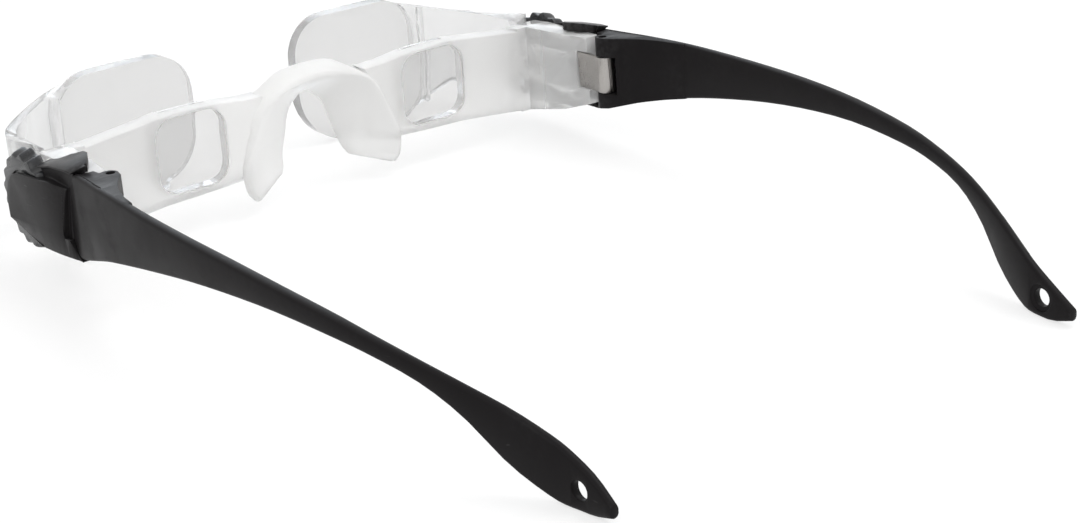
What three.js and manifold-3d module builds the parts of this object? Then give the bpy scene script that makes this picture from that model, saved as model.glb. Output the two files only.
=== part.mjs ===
// Binocular glasses: a spectacle frame that holds a small Galilean telescope before each eye.
// Millimetres. +X is the wearer's left, +Y runs back along the side arms and +Z is up.
// The origin lies on the table, under the middle of the glasses.
// Inside the group, y and z are counted from the hinge: y = 0 at its pin, z = 0 at its upper end.
// The left side is drawn, and the right side is its mirror image.

import * as THREE from 'three';
import { mergeVertices } from 'three/addons/utils/BufferGeometryUtils.js';
import Module from 'manifold-3d';

const wasm = await Module();
wasm.setup();

// Overall sizes
const armLength = 145.6;      // hinge pin to the end of the side arm
const frontReach = 60.8;      // hinge pin to the foremost point of the objective lens
const hingeX = 64;            // middle plane to the hinge pin
const hingeTop = 27.9;        // table to the upper end of the hinge
const hingeY = (frontReach - armLength) / 2;
const hingeCant = THREE.MathUtils.degToRad(3);   // the pins lean inwards at the top

// Fits shared by all pieces
const slip = 0.3;             // gap between pieces that lie against each other
const running = 0.2;          // gap round a piece that turns or slides
const overrun = 1;            // how far a cut runs past the piece it cuts
const roundLimitShare = 0.45; // the most of a thickness that its rounded edge takes
const smallSides = 20;
const largeSides = 40;

// Side arm
const armThickness = 2.4;
const armBow = 8.8;           // how far the arm bows out beyond the hinge pin
const armEdgeRound = 0.8;
const armSteps = 48;
const tipHoleRadius = 1.8;    // hole for a neck cord
const tipHoleRimRadius = 2.7;
const tipHoleRimDepth = 0.5;
const tipHolePlaceShares = [0.949, -0.86];   // along the arm, and down from the hinge's top

// Rows along the arm: place on the arm's length, outer face on its bow,
// upper and lower edge on the hinge's height, thickness on the arm's thickness
const armShares = [
  [-0.078, 0.560, -0.026, -0.712, 0.80],
  [-0.040, 0.613, -0.020, -0.690, 0.80],
  [0.000, 0.682, -0.014, -0.635, 0.80],
  [0.034, 0.755, -0.009, -0.585, 0.82],
  [0.068, 0.811, -0.003, -0.539, 0.85],
  [0.136, 0.909, 0.002, -0.465, 0.92],
  [0.204, 0.982, -0.003, -0.399, 0.98],
  [0.306, 1.017, -0.016, -0.319, 1.04],
  [0.408, 0.993, -0.036, -0.267, 1.10],
  [0.510, 0.896, -0.074, -0.247, 1.10],
  [0.612, 0.701, -0.135, -0.272, 1.08],
  [0.680, 0.500, -0.199, -0.317, 1.00],
  [0.748, 0.214, -0.279, -0.408, 0.90],
  [0.803, -0.094, -0.362, -0.568, 0.82],
  [0.857, -0.441, -0.463, -0.819, 0.80],
  [0.905, -0.726, -0.576, -0.963, 0.80],
  [0.932, -0.849, -0.650, -1.000, 0.80],
  [0.966, -0.924, -0.749, -1.000, 0.80],
  [1.000, -0.922, -0.869, -0.954, 0.76],
];

// Hinge
const hingeMiddle = 9.3;      // below the hinge's upper end
const pinRadius = 0.8;
const pinLength = 15.4;
const boreLength = hingeTop;   // more than the lug's height
const pinFit = 0.15;
const barrelRadius = 2.1;     // rounded inner corner of the arm's lug, round the pin
const lugLength = 21;         // where the lug has run out into the blade
const lugFront = 4.2;         // pin to the lug's front face
const lugStep = 1.2;          // from the pin out to the step where the front face begins
const lugDrop = 18;           // hinge's upper end down to the lug's lower end
const knuckleRadius = 2.1;
const knuckleHeight = 8.6;
const knuckleSeamWidth = 0.5; // where the rolled knuckle closes
const knuckleSeamDepth = 0.5;
const knuckleSeamTurn = THREE.MathUtils.degToRad(97);
const leafThickness = 0.9;
const leafOffset = -1.7;      // pin to the leaf's inner face, flush with the block's
const leafReach = 8;          // pin to the leaf's front end
const knuckleSpace = 0.45;    // free space round the knuckle in its slot
const slotRear = 4.1;         // pin to the slot's rear end, where the knuckle shows
// Inner face of the lug, in shares of its length, from the pin's place; it ends in the blade's inner face
const lugInnerShares = [[-0.071, 0.119], [0.049, 0.295], [0.148, 0.476], [0.210, 0.643], [0.250, 0.810]];
const lugStationShares = [0, 0.25, 0.5, 0.75, 1];

// Spectacle frame: the brow bar
const barRear = 24.1;         // pin to the bar's rear face
const barDepth = 5.2;
const barFront = barRear + barDepth;
const barHeight = 20;
// Bar outline: x in shares of hingeX, z in shares of barHeight
const barTopShares = [
  [0.21, -0.065], [0.29, -0.055], [0.39, -0.015], [0.47, 0], [0.55, 0.005],
  [0.62, -0.010], [0.70, -0.040], [0.81, -0.080], [0.93, -0.120],
];
const barBottomShares = [
  [0.93, -1.100], [0.78, -1.045], [0.62, -0.995], [0.47, -0.980], [0.31, -0.955],
  [0.25, -0.930], [0.25, -0.300],
];

// Spectacle frame: the saddle bridge and its nose pads
const padSpread = 20;         // middle plane to the pads' outer rear edge
const padReach = 8;           // front to rear of the bridge
const bridgeFront = 29.8;     // pin to the bridge's front
const padDrop = 24.3;         // hinge's upper end down to the pads' lower end
const padRounding = 0.7;
const padStepsPerRow = 2;
// Rows from the middle of the bridge down to the pad's end, each with four corners:
// front inner, rear inner, rear outer, front outer, each as shares of padSpread, padReach, padDrop
const bridgeShares = [
  [[0.00, 0.00, -0.180], [0.00, 0.91, -0.030], [0.00, 0.95, 0.045], [0.00, 0.08, 0.115]],
  [[0.11, 0.01, -0.240], [0.22, 0.92, -0.040], [0.25, 0.95, 0.020], [0.20, 0.07, 0.110]],
  [[0.20, 0.02, -0.320], [0.42, 0.95, -0.070], [0.47, 0.95, -0.020], [0.37, 0.06, 0.080]],
  [[0.245, 0.03, -0.430], [0.62, 0.98, -0.140], [0.68, 0.95, -0.095], [0.60, 0.06, -0.030]],
  [[0.255, 0.035, -0.480], [0.72, 0.99, -0.240], [0.785, 0.93, -0.200], [0.74, 0.06, -0.075]],
  [[0.270, 0.04, -0.530], [0.80, 1.00, -0.360], [0.87, 0.90, -0.330], [0.87, 0.06, -0.180]],
  [[0.325, 0.06, -0.670], [0.98, 1.01, -0.670], [1.05, 0.83, -0.670], [0.87, 0.07, -0.670]],
  [[0.350, 0.12, -0.740], [0.995, 1.01, -0.820], [1.06, 0.80, -0.820], [0.72, 0.10, -0.770]],
  [[0.370, 0.22, -0.800], [0.97, 0.99, -0.935], [1.03, 0.80, -0.935], [0.62, 0.15, -0.840]],
  [[0.420, 0.31, -0.860], [0.91, 0.95, -1.000], [0.95, 0.82, -1.000], [0.59, 0.26, -0.900]],
];

// Eyepiece windows and their lenses
const eyeX = 32.05;           // middle plane to the eyepiece's middle
const eyeDrop = 9.4;          // hinge's upper end down to the eyepiece's middle
const windowWidth = 17.4;
const windowHeight = 17.3;
const windowRound = 4.6;
const rebateWidth = 0.9;      // the window's front is wider by this all round
const rebateDepth = 1.5;
const lensFit = 0.15;
const eyeLensSet = 0.5;       // the lens lies this far behind and before the bar's faces
const eyeSagRear = 0.8;
const eyeSagFront = 0.5;

// Objective lens
const objectiveX = 31.05;
const objectiveWidth = 33.9;
const objectiveHeight = 31.8;
const objectiveRound = 9.3;
const objectiveNoseRound = 14; // the lower corner beside the nose is rounder
const objectiveEdge = 3.8;    // thickness at the edge
const bulgeFront = 1.7;
const bulgeRear = 0.9;
const objectiveFront = frontReach - bulgeFront;
const objectiveMiddle = objectiveHeight / 2 - hingeTop;

// End block of the frame, between the bar and the hinge
const blockOut = 2;           // pin out to the block's outer face
const blockRear = 4.5;
const blockInnerRear = 1.7;   // pin in to the block's inner face, at its rear
const blockInnerFront = 4.5;  // pin in to the block's inner face, at the bar
const blockRoot = 7;          // pin in to where the block is sunk in the bar
// Block seen from the side: y in shares of barFront, z in shares of barHeight
const blockTopShares = [[-0.150, -0.065], [-0.82, -0.075], [-1, -0.100]];
const blockBottomShares = [[-1, -1.115], [-0.82, -1.100], [-0.44, -1.000], [-0.31, -0.940], [-0.150, -0.867]];

// Focus wheel, its axle and what it drives
const wheelY = -27.9;
const wheelDrop = 11.2;
const wheelRadius = 11;
const wheelOuterRadius = 10;
const wheelWidth = 3.1;
const wheelIn = 3.3;          // pin out to the wheel's inner face
const wheelRidges = 17;
const ridgeDepth = 0.9;
const ridgeTurn = THREE.MathUtils.degToRad(3.5);
const wheelHubRadius = 6.6;   // hollow in the wheel's outer face
const wheelHubDepth = 0.7;
const pointsPerRidge = 5;
const wheelRowShares = [[0, 0.95], [0.14, 1], [0.8, 0.40], [1, 0]];   // along the width, on the cone
const axleRadius = 1.5;
const axleFit = 0.15;
const axleIn = 3.6;           // pin in to the axle's inner end
const focusTravel = 2.5;      // the objective slides this far forwards and back
const focusTurn = THREE.MathUtils.degToRad(120);
const followerRadius = 0.7;
const followerOffset = 6;     // wheel's axle to the follower pin, in the middle of the travel
const followerDepth = 1.2;    // how far the follower reaches into the wheel
const grooveDepth = 1.5;
const grooveHalfWidth = 0.93;
const grooveRunOut = THREE.MathUtils.degToRad(14);
const grooveSteps = 40;
const washerThickness = 0.7;
const washerRadius = 2.6;

// Objective carrier: the clear arm from the lens back to the end block
const tongueIn = 1.2;         // pin in to the tongue's inner face
const tongueThickness = 2.8;
const tongueHeight = 7.6;
const tongueRear = 14;        // pin to the tongue's rear end
const tongueRoot = barFront + focusTravel + slip;   // pin to where the arm becomes the tongue
const webGap = 0.2;           // between the tongue and the floor of its groove
const earRadius = 7.5;
const earIn = 4;              // pin in to the ear's inner face
const followerSeat = 2.2;     // how deep the follower pin is sunk in the tongue
const flangeWidth = 1.5;
const flangeDepth = 6.3;      // the carrier's flange along the lens, front to rear
const flangeRear = objectiveFront - flangeDepth;
const carrierStepsPerRow = 3;
// Arm seen from above: x in shares of hingeX, y in shares of objectiveFront
const carrierOuterShares = [
  [0.594, -1.005], [0.727, -1.005], [0.781, -1.000], [0.856, -0.971], [0.914, -0.934],
  [0.956, -0.895], [0.988, -0.846], [1.008, -0.787], [1.019, -0.728], [1.028, -0.660],
];
const carrierInnerShares = [
  [0.977, -0.765], [0.958, -0.819], [0.927, -0.861], [0.881, -0.900], [0.834, -0.927], [0.791, -0.946],
];
// Arm seen from the front: x in shares of hingeX, z in shares of objectiveHeight
const carrierTopShares = [
  [0.594, 0.128], [0.641, 0.113], [0.672, 0.082], [0.719, 0.049], [0.750, 0.031],
  [0.812, -0.006], [0.875, -0.044], [0.938, -0.072], [0.972, -0.080], [0.990, -0.070], [1.050, 0.010],
];
// Upper edge of its rear part from the side: y in shares of objectiveFront, z in shares of objectiveHeight
const carrierRiseShares = [
  [-0.950, -0.086], [-0.863, -0.088], [-0.821, -0.094], [-0.721, -0.075], [-0.580, -0.035], [-0.500, -0.018],
];
const carrierBottomShares = [
  [1.050, -0.522], [1.000, -0.544], [0.938, -0.610], [0.859, -0.704],
  [0.781, -0.774], [0.719, -0.808], [0.641, -0.849], [0.594, -0.865],
];

// Cover over the wheel and the end block
const coverIn = blockOut + slip;
const coverOut = 5.8;         // pin out to the cover's outer face, flush with the arm
const plateThickness = 0.9;
const padOut = wheelIn + wheelWidth + running + plateThickness;   // pin out to the plate over the wheel
const recessOut = 5.05;       // pin out to the sunk band round the plate
const ledgeLip = 0.4;         // edge of the ledge above the sunk band
const coverLength = 36.3;     // pin to the cover's front
const coverHeight = 19.1;
const coverPinRadius = 0.8;
const coverPinReach = 3.2;    // length of the cover's locating pins
const coverPinY = -10.8;
const coverPinDrops = [2.5, 16.7];
const coverLean = 0.23;       // rise of the cover's upper face for each millimetre inwards
const wheelSpace = 0.5;       // free space round the wheel
// Outline from the side: y in shares of coverLength, z in shares of coverHeight
const coverTopShares = [
  [-0.127, -0.005], [-0.222, -0.008], [-0.419, -0.045], [-0.554, -0.105], [-0.733, -0.195],
  [-0.915, -0.285], [-0.975, -0.440], [-1.000, -0.710], [-0.948, -0.848], [-0.579, -1.045],
  [-0.372, -1.037],
];
const ledgePoints = 6;        // so many of them lie on the ledge
const coverSeamShares = [
  [-0.174, -1.034], [-0.227, -0.948], [-0.262, -0.827], [-0.257, -0.654], [-0.246, -0.501],
  [-0.229, -0.356], [-0.192, -0.181], [-0.158, -0.053],
];
// Plate from the side: its upper edge, its rounded front, and its foot that runs back to the seam
const plateShares = [
  [-0.228, -0.219], [-0.410, -0.204], [-0.650, -0.236], [-0.777, -0.257], [-0.850, -0.310], [-0.902, -0.400],
  [-0.938, -0.520], [-0.953, -0.650], [-0.950, -0.780], [-0.930, -1.200], [0.050, -1.200], [0.050, -0.820],
  [-0.307, -0.808], [-0.292, -0.663], [-0.273, -0.505], [-0.254, -0.360],
];
// Rows along the plate: place on coverLength, outer face on padOut, height on coverHeight at which
// the lower edge starts to lean inwards, and face at the lower edge on padOut
const plateRowShares = [
  [-1.060, 1.000, -0.850, 0.900], [-0.800, 1.000, -0.820, 0.890], [-0.565, 1.000, -0.785, 0.870],
  [-0.400, 0.950, -0.770, 0.830], [-0.303, 0.860, -0.760, 0.775], [-0.234, 0.780, -0.752, 0.727],
  [-0.182, 0.740, -0.749, 0.693], [0.050, 0.735, -0.743, 0.680],
];
const plateStepsPerRow = 2;
const plateLowerShare = -1.050;
// Flange over the end block from above: x from the pin in shares of coverOut, y of coverLength
const coverFlangeShares = [
  [0.690, -0.540], [0.224, -0.454], [-0.259, -0.369], [-0.259, -0.320], [0.052, -0.226],
  [0.276, -0.160], [0.860, -0.157], [0.860, -0.560],
];

// Colours
const clearPlastic = { color: 0xe9eae8, roughness: 0.12, metalness: 0 };
const frostedPlastic = { color: 0xe2e2e0, roughness: 0.45, metalness: 0 };
const blackPlastic = { color: 0x2b2b2d, roughness: 0.42, metalness: 0 };
const blackRubbery = { color: 0x232325, roughness: 0.6, metalness: 0 };
const steel = { color: 0xb4b1ad, roughness: 0.35, metalness: 1 };

// Basic solids

const unitX = new THREE.Vector3(1, 0, 0);
const unitY = new THREE.Vector3(0, 1, 0);
const unitZ = new THREE.Vector3(0, 0, 1);

function signedVolume(positions, triangles) {
  const [a, b, c] = [new THREE.Vector3(), new THREE.Vector3(), new THREE.Vector3()];
  let sum = 0;
  for (let i = 0; i < triangles.length; i += 3) {
    a.fromArray(positions, triangles[i] * 3);
    b.fromArray(positions, triangles[i + 1] * 3);
    c.fromArray(positions, triangles[i + 2] * 3);
    sum += a.dot(b.cross(c));
  }
  return sum;
}

// Turns a closed geometry into a solid that can be joined and cut
function solidOf(geometry) {
  const plain = geometry.clone();
  plain.deleteAttribute('normal');
  plain.deleteAttribute('uv');
  const merged = mergeVertices(plain);
  const corners = merged.index.array;
  const triangles = [];
  for (let i = 0; i < corners.length; i += 3) {
    const [a, b, c] = [corners[i], corners[i + 1], corners[i + 2]];
    if (a !== b && b !== c && c !== a) triangles.push(a, b, c);
  }
  const positions = merged.attributes.position.array;
  if (signedVolume(positions, triangles) < 0) triangles.reverse();
  return new wasm.Manifold(new wasm.Mesh({
    numProp: 3,
    vertProperties: Float32Array.from(positions),
    triVerts: Uint32Array.from(triangles),
  }));
}

function geometryOf(solid) {
  const mesh = solid.getMesh();
  const geometry = new THREE.BufferGeometry();
  geometry.setAttribute('position', new THREE.BufferAttribute(mesh.vertProperties, 3));
  geometry.setIndex(new THREE.BufferAttribute(mesh.triVerts, 1));
  geometry.computeVertexNormals();
  return geometry;
}

function mirrored(geometry) {
  const copy = geometry.clone();
  copy.applyMatrix4(new THREE.Matrix4().makeScale(-1, 1, 1));
  const index = copy.index.array;
  index.reverse();
  copy.computeVertexNormals();
  return copy;
}

function prism(points, depth) {
  const shape = new THREE.Shape(points.map(([u, v]) => new THREE.Vector2(u, v)));
  return new THREE.ExtrudeGeometry(shape, { depth, bevelEnabled: false });
}

// A prism whose outline is seen from the side, as (y, z), and which runs from x = from to x = to
function sidePrism(points, from, to) {
  const geometry = prism(points, to - from);
  geometry.applyMatrix4(new THREE.Matrix4().makeBasis(unitY, unitZ, unitX));
  geometry.translate(from, 0, 0);
  return geometry;
}

// A prism whose outline is seen from above, as (x, y), and which runs from z = from to z = to
function planPrism(points, from, to) {
  const geometry = prism(points, to - from);
  geometry.translate(0, 0, from);
  return geometry;
}

// A prism whose outline is seen from the front, as (x, z), and which runs from y = from to y = to
function frontPrism(points, from, to) {
  const geometry = prism(points, to - from);
  geometry.applyMatrix4(new THREE.Matrix4().makeBasis(unitX, unitZ, unitY.clone().negate()));
  geometry.translate(0, to, 0);
  return geometry;
}

function box(fromX, toX, fromY, toY, fromZ, toZ) {
  const geometry = new THREE.BoxGeometry(toX - fromX, toY - fromY, toZ - fromZ);
  geometry.translate((fromX + toX) / 2, (fromY + toY) / 2, (fromZ + toZ) / 2);
  return geometry;
}

// A round rod along X, from x = from to x = to; its far end can have another radius
function rodX(radius, from, to, sides = smallSides, endRadius = radius) {
  const geometry = new THREE.CylinderGeometry(endRadius, radius, to - from, sides);
  geometry.rotateZ(-Math.PI / 2);
  geometry.translate((from + to) / 2, 0, 0);
  return geometry;
}

// A round rod along Z, with its middle at the origin
function rodZ(radius, length) {
  const geometry = new THREE.CylinderGeometry(radius, radius, length, smallSides);
  geometry.rotateX(Math.PI / 2);
  return geometry;
}

// The outline of a rectangle with rounded corners, round its middle; the lower one at -X can differ
function roundedRectangle(width, height, radius, steps, lowerInnerRadius = radius) {
  const points = [];
  for (let corner = 0; corner < 4; corner += 1) {
    const signX = corner === 0 || corner === 3 ? 1 : -1;
    const signZ = corner < 2 ? 1 : -1;
    const round = corner === 2 ? lowerInnerRadius : radius;
    for (let step = 0; step <= steps; step += 1) {
      const angle = (corner + step / steps) * Math.PI / 2;
      const x = signX * (width / 2 - round) + round * Math.cos(angle);
      const z = signZ * (height / 2 - round) + round * Math.sin(angle);
      points.push([x, z]);
    }
  }
  return points;
}

function moved(points, right, up) {
  return points.map(([u, v]) => [u + right, v + up]);
}

// Scales a table of shares to real places, measured from a start
function placed(shares, width, height, start = [0, 0]) {
  return shares.map(([u, v]) => [start[0] + u * width, start[1] + v * height]);
}

// Skins a row of closed loops with equally many points and closes both ends
function loft(loops) {
  const count = loops[0].length;
  const positions = loops.flat(2);
  const triangles = [];
  for (let row = 0; row < loops.length - 1; row += 1) {
    for (let i = 0; i < count; i += 1) {
      const a = row * count + i;
      const b = row * count + (i + 1) % count;
      triangles.push(a, b, b + count, a, b + count, a + count);
    }
  }
  [0, loops.length - 1].forEach((row, end) => {
    const middle = new THREE.Vector3();
    loops[row].forEach((point) => middle.add(new THREE.Vector3(...point)));
    middle.divideScalar(count);
    positions.push(middle.x, middle.y, middle.z);
    for (let i = 0; i < count; i += 1) {
      const a = row * count + i;
      const b = row * count + (i + 1) % count;
      const tip = loops.length * count + end;
      if (end === 0) triangles.push(tip, b, a);
      else triangles.push(tip, a, b);
    }
  });
  const geometry = new THREE.BufferGeometry();
  geometry.setAttribute('position', new THREE.BufferAttribute(Float32Array.from(positions), 3));
  geometry.setIndex(triangles);
  return geometry;
}

// Draws a smooth curve through each column of a table and reads it at even steps
function smoothRows(rows, steps) {
  const columns = rows[0].map((_, column) => (
    new THREE.SplineCurve(rows.map((row) => new THREE.Vector2(0, row[column])))));
  const result = [];
  for (let step = 0; step <= steps; step += 1) {
    result.push(columns.map((curve) => curve.getPoint(step / steps).y));
  }
  return result;
}

// Side arm

const armRows = smoothRows(armShares, armSteps).map(([along, out, top, bottom, thick]) => ({
  y: along * armLength,
  out: hingeX + out * armBow,
  top: top * hingeTop,
  bottom: Math.max(bottom, -1) * hingeTop,
  thickness: thick * armThickness,
}));

// One size of the arm at a place along it
function armAt(y, key) {
  const after = armRows.findIndex((row) => row.y >= y);
  const [a, b] = [armRows[Math.max(after, 1) - 1], armRows[Math.max(after, 1)]];
  return THREE.MathUtils.mapLinear(y, a.y, b.y, a[key], b[key]);
}

function armBlade() {
  const loops = armRows.map((row) => {
    const height = row.top - row.bottom;
    const radius = Math.min(armEdgeRound, row.thickness * roundLimitShare);
    const loop = roundedRectangle(row.thickness, height, radius, 2);
    const [x, z] = [row.out - row.thickness / 2, row.bottom + height / 2];
    return loop.map(([u, v]) => [x + u, row.y, z + v]);
  });
  return solidOf(loft(loops));
}

// The thick front end that holds the hinge pin
function armLug() {
  const ys = lugStationShares.map((share) => THREE.MathUtils.lerp(-lugFront, lugLength, share));
  const outer = ys.map((y) => [armAt(y, 'out') - armThickness / 2, y]);
  const innerEnd = [armAt(lugLength, 'out') - armAt(lugLength, 'thickness'), lugLength];
  const barrel = [];
  const turnFrom = Math.atan2(-barrelRadius, lugStep);
  for (let step = 0; step <= 6; step += 1) {
    const angle = THREE.MathUtils.lerp(turnFrom, -Math.PI, step / 6);
    barrel.push([hingeX + barrelRadius * Math.cos(angle), barrelRadius * Math.sin(angle)]);
  }
  const plan = [
    ...placed(lugInnerShares, lugLength, lugLength, [hingeX, 0]),
    innerEnd,
    ...outer.reverse(),
    [hingeX + lugStep, -lugFront],
    ...barrel,
  ];
  const bottom = ys.map((y) => [y, Math.max(armAt(y, 'bottom'), -lugDrop)]);
  const top = ys.map((y) => [y, armAt(y, 'top')]);
  const side = sidePrism([...bottom, ...top.reverse()], hingeX - armBow, hingeX + armBow + overrun);
  return solidOf(planPrism(plan, -hingeTop, overrun)).intersect(solidOf(side));
}

function atPin(geometry) {
  geometry.rotateY(-hingeCant);
  geometry.translate(hingeX, 0, -hingeMiddle);
  return geometry;
}

function arm() {
  const slotHalf = knuckleHeight / 2 + pinFit;
  const slotSide = knuckleRadius + knuckleSpace;
  const slotFront = lugFront + overrun;
  const slot = atPin(box(-slotSide - overrun, slotSide, -slotFront, slotRear, -slotHalf, slotHalf));
  const bore = atPin(rodZ(pinRadius + pinFit, boreLength));
  const seam = [
    [-coverLength, overrun],
    [-coverLength, -hingeTop],
    ...placed(coverSeamShares, coverLength, coverHeight).map(([y, z]) => [y + slip, z]),
    [coverTopShares[0][0] * coverLength + slip, coverTopShares[0][1] * coverHeight],
    [coverTopShares[0][0] * coverLength + slip, overrun],
  ];
  const hole = rodX(tipHoleRadius, -armBow, armBow);
  const [holeY, holeZ] = [tipHolePlaceShares[0] * armLength, tipHolePlaceShares[1] * hingeTop];
  const tipOut = armAt(holeY, 'out');
  hole.translate(tipOut, holeY, holeZ);
  const tipIn = tipOut - armAt(holeY, 'thickness');
  const rim = rodX(tipHoleRimRadius, tipIn - overrun, tipIn + tipHoleRimDepth);
  rim.translate(0, holeY, holeZ);
  return geometryOf(armBlade().add(armLug())
    .subtract(solidOf(slot))
    .subtract(solidOf(bore))
    .subtract(solidOf(sidePrism(seam, hingeX + lugStep, hingeX + armBow + overrun)))
    .subtract(solidOf(hole))
    .subtract(solidOf(rim)));
}

// Hinge

function hingePin() {
  return geometryOf(solidOf(rodZ(pinRadius, pinLength)));
}

// The leaf, or with a gap and an opening inwards the seat that is cut for it
function leafPlate(gap, opening = 0) {
  return box(
    leafOffset - gap - opening,
    leafOffset + leafThickness + gap,
    -leafReach - gap,
    -knuckleRadius / 2,
    -knuckleHeight / 2 - gap,
    knuckleHeight / 2 + gap,
  );
}

function hingeLeaf() {
  const knuckle = solidOf(rodZ(knuckleRadius, knuckleHeight));
  const bore = rodZ(pinRadius + pinFit, knuckleHeight + 2 * overrun);
  const seamHalf = knuckleSeamWidth / 2;
  const seam = box(
    knuckleRadius - knuckleSeamDepth,
    knuckleRadius + overrun,
    -seamHalf,
    seamHalf,
    -knuckleHeight,
    knuckleHeight,
  );
  seam.rotateZ(knuckleSeamTurn);
  return geometryOf(knuckle.add(solidOf(leafPlate(0))).subtract(solidOf(bore)).subtract(solidOf(seam)));
}

// Spectacle frame

function windowOutline(gap, round) {
  const outline = roundedRectangle(windowWidth + 2 * gap, windowHeight + 2 * gap, round, 5);
  return moved(outline, eyeX, -eyeDrop);
}

function windowCut() {
  const through = solidOf(frontPrism(windowOutline(0, windowRound), -barFront - overrun, -barRear + overrun));
  const rebate = windowOutline(rebateWidth, windowRound + rebateWidth);
  return through.add(solidOf(frontPrism(rebate, -barFront - overrun, -barFront + rebateDepth)));
}

function bar() {
  const outline = [
    ...placed(barTopShares, hingeX, barHeight),
    ...placed(barBottomShares, hingeX, barHeight),
  ];
  return solidOf(frontPrism(outline, -barFront, -barRear)).subtract(windowCut());
}

// Cuts each corner of a four-cornered loop, so that its long edges are rounded
function softened(corners) {
  const loop = [];
  corners.forEach((corner, i) => {
    [corners[(i + 3) % 4], corners[(i + 1) % 4]].forEach((neighbour) => {
      const way = neighbour.clone().sub(corner);
      const step = Math.min(padRounding, way.length() * roundLimitShare);
      loop.push(corner.clone().addScaledVector(way.normalize(), step).toArray());
    });
  });
  return loop;
}

function bridge() {
  const half = bridgeShares.map((row) => row.flat());
  const otherHalf = half.slice(1).reverse().map((row) => row.map((share, i) => (i % 3 === 0 ? -share : share)));
  const rows = smoothRows([...otherHalf, ...half], (2 * half.length - 2) * padStepsPerRow);
  return solidOf(loft(rows.map((row) => {
    const corners = [0, 3, 6, 9].map((i) => new THREE.Vector3(
      row[i] * padSpread,
      row[i + 1] * padReach - bridgeFront,
      row[i + 2] * padDrop,
    ));
    return softened(corners);
  })));
}

function endBlock() {
  const plan = [
    [hingeX + blockOut, -blockRear],
    [hingeX - blockInnerRear, -blockRear],
    [hingeX - blockInnerFront, -barRear],
    [hingeX - blockRoot, -barRear],
    [hingeX - blockRoot, -barFront],
    [hingeX + blockOut, -barFront],
  ];
  const side = [
    ...placed(blockTopShares, barFront, barHeight),
    ...placed(blockBottomShares, barFront, barHeight),
  ];
  const [inner, outer] = [hingeX - blockRoot - overrun, hingeX + blockOut + overrun];
  const body = solidOf(planPrism(plan, -hingeTop, hingeTop)).intersect(solidOf(sidePrism(side, inner, outer)));
  const webOut = hingeX - tongueIn - webGap;
  const ear = rodX(earRadius, hingeX - earIn, webOut, largeSides);
  ear.translate(0, wheelY, -wheelDrop);
  const grooveHalf = tongueHeight / 2 + running;
  const grooveFront = wheelY - earRadius - overrun;
  const grooveRear = focusTravel + running - tongueRear;
  const groove = box(webOut, outer, grooveFront, grooveRear, -wheelDrop - grooveHalf, -wheelDrop + grooveHalf);
  const axleHole = rodX(axleRadius + axleFit, inner, outer);
  axleHole.translate(0, wheelY, -wheelDrop);
  let block = body.add(solidOf(ear))
    .subtract(solidOf(groove))
    .subtract(solidOf(axleHole))
    .subtract(solidOf(atPin(leafPlate(running, blockInnerFront))));
  coverPinDrops.forEach((drop) => {
    const hole = rodX(coverPinRadius + pinFit, hingeX + coverIn - coverPinReach - slip, outer);
    hole.translate(0, coverPinY, -drop);
    block = block.subtract(solidOf(hole));
  });
  return block;
}

function spectacleFrame() {
  const leftHalf = bar().add(endBlock());
  const rightHalf = solidOf(mirrored(geometryOf(leftHalf)));
  return geometryOf(bridge().add(leftHalf).add(rightHalf));
}

// Lenses

// A round blank along Y with one curved face at each end; a negative bulge is a hollow face
function lensBlank(radius, front, rear, frontBulge, rearBulge, edgeRadius) {
  const rings = 5;
  const frontFace = [];
  const rearFace = [];
  for (let ring = 0; ring <= rings; ring += 1) {
    const r = radius * ring / rings;
    const rise = 1 - (r / edgeRadius) ** 2;
    frontFace.push(new THREE.Vector2(r, front - frontBulge * rise));
    rearFace.push(new THREE.Vector2(r, rear + rearBulge * rise));
  }
  return solidOf(new THREE.LatheGeometry([...frontFace, ...rearFace.reverse()], largeSides));
}

function eyepieceLens() {
  const [rear, front] = [-barRear - eyeLensSet, -barFront + eyeLensSet];
  const plug = frontPrism(windowOutline(-lensFit, windowRound - lensFit), front, rear);
  const flangeGap = rebateWidth - lensFit;
  const flange = frontPrism(
    windowOutline(flangeGap, windowRound + flangeGap),
    front,
    -barFront + rebateDepth - lensFit,
  );
  const blank = lensBlank(windowWidth, front, rear, -eyeSagFront, -eyeSagRear, windowWidth / 2);
  const solid = solidOf(plug).add(solidOf(flange)).translate(-eyeX, 0, eyeDrop).intersect(blank);
  return geometryOf(solid);
}

function objectiveOutline(gap) {
  const [width, height] = [objectiveWidth + 2 * gap, objectiveHeight + 2 * gap];
  return roundedRectangle(width, height, objectiveRound + gap, 8, objectiveNoseRound + gap);
}

function objectiveLens() {
  const half = objectiveEdge / 2;
  const slab = frontPrism(objectiveOutline(0), -half - bulgeFront, half + bulgeRear);
  const corner = Math.hypot(objectiveWidth, objectiveHeight) / 2;
  const blank = lensBlank(corner, -half, half, bulgeFront, bulgeRear, objectiveWidth / 2);
  return geometryOf(solidOf(slab).intersect(blank));
}

// Objective carrier

function finer(shares) {
  return smoothRows(shares, (shares.length - 1) * carrierStepsPerRow);
}

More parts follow.
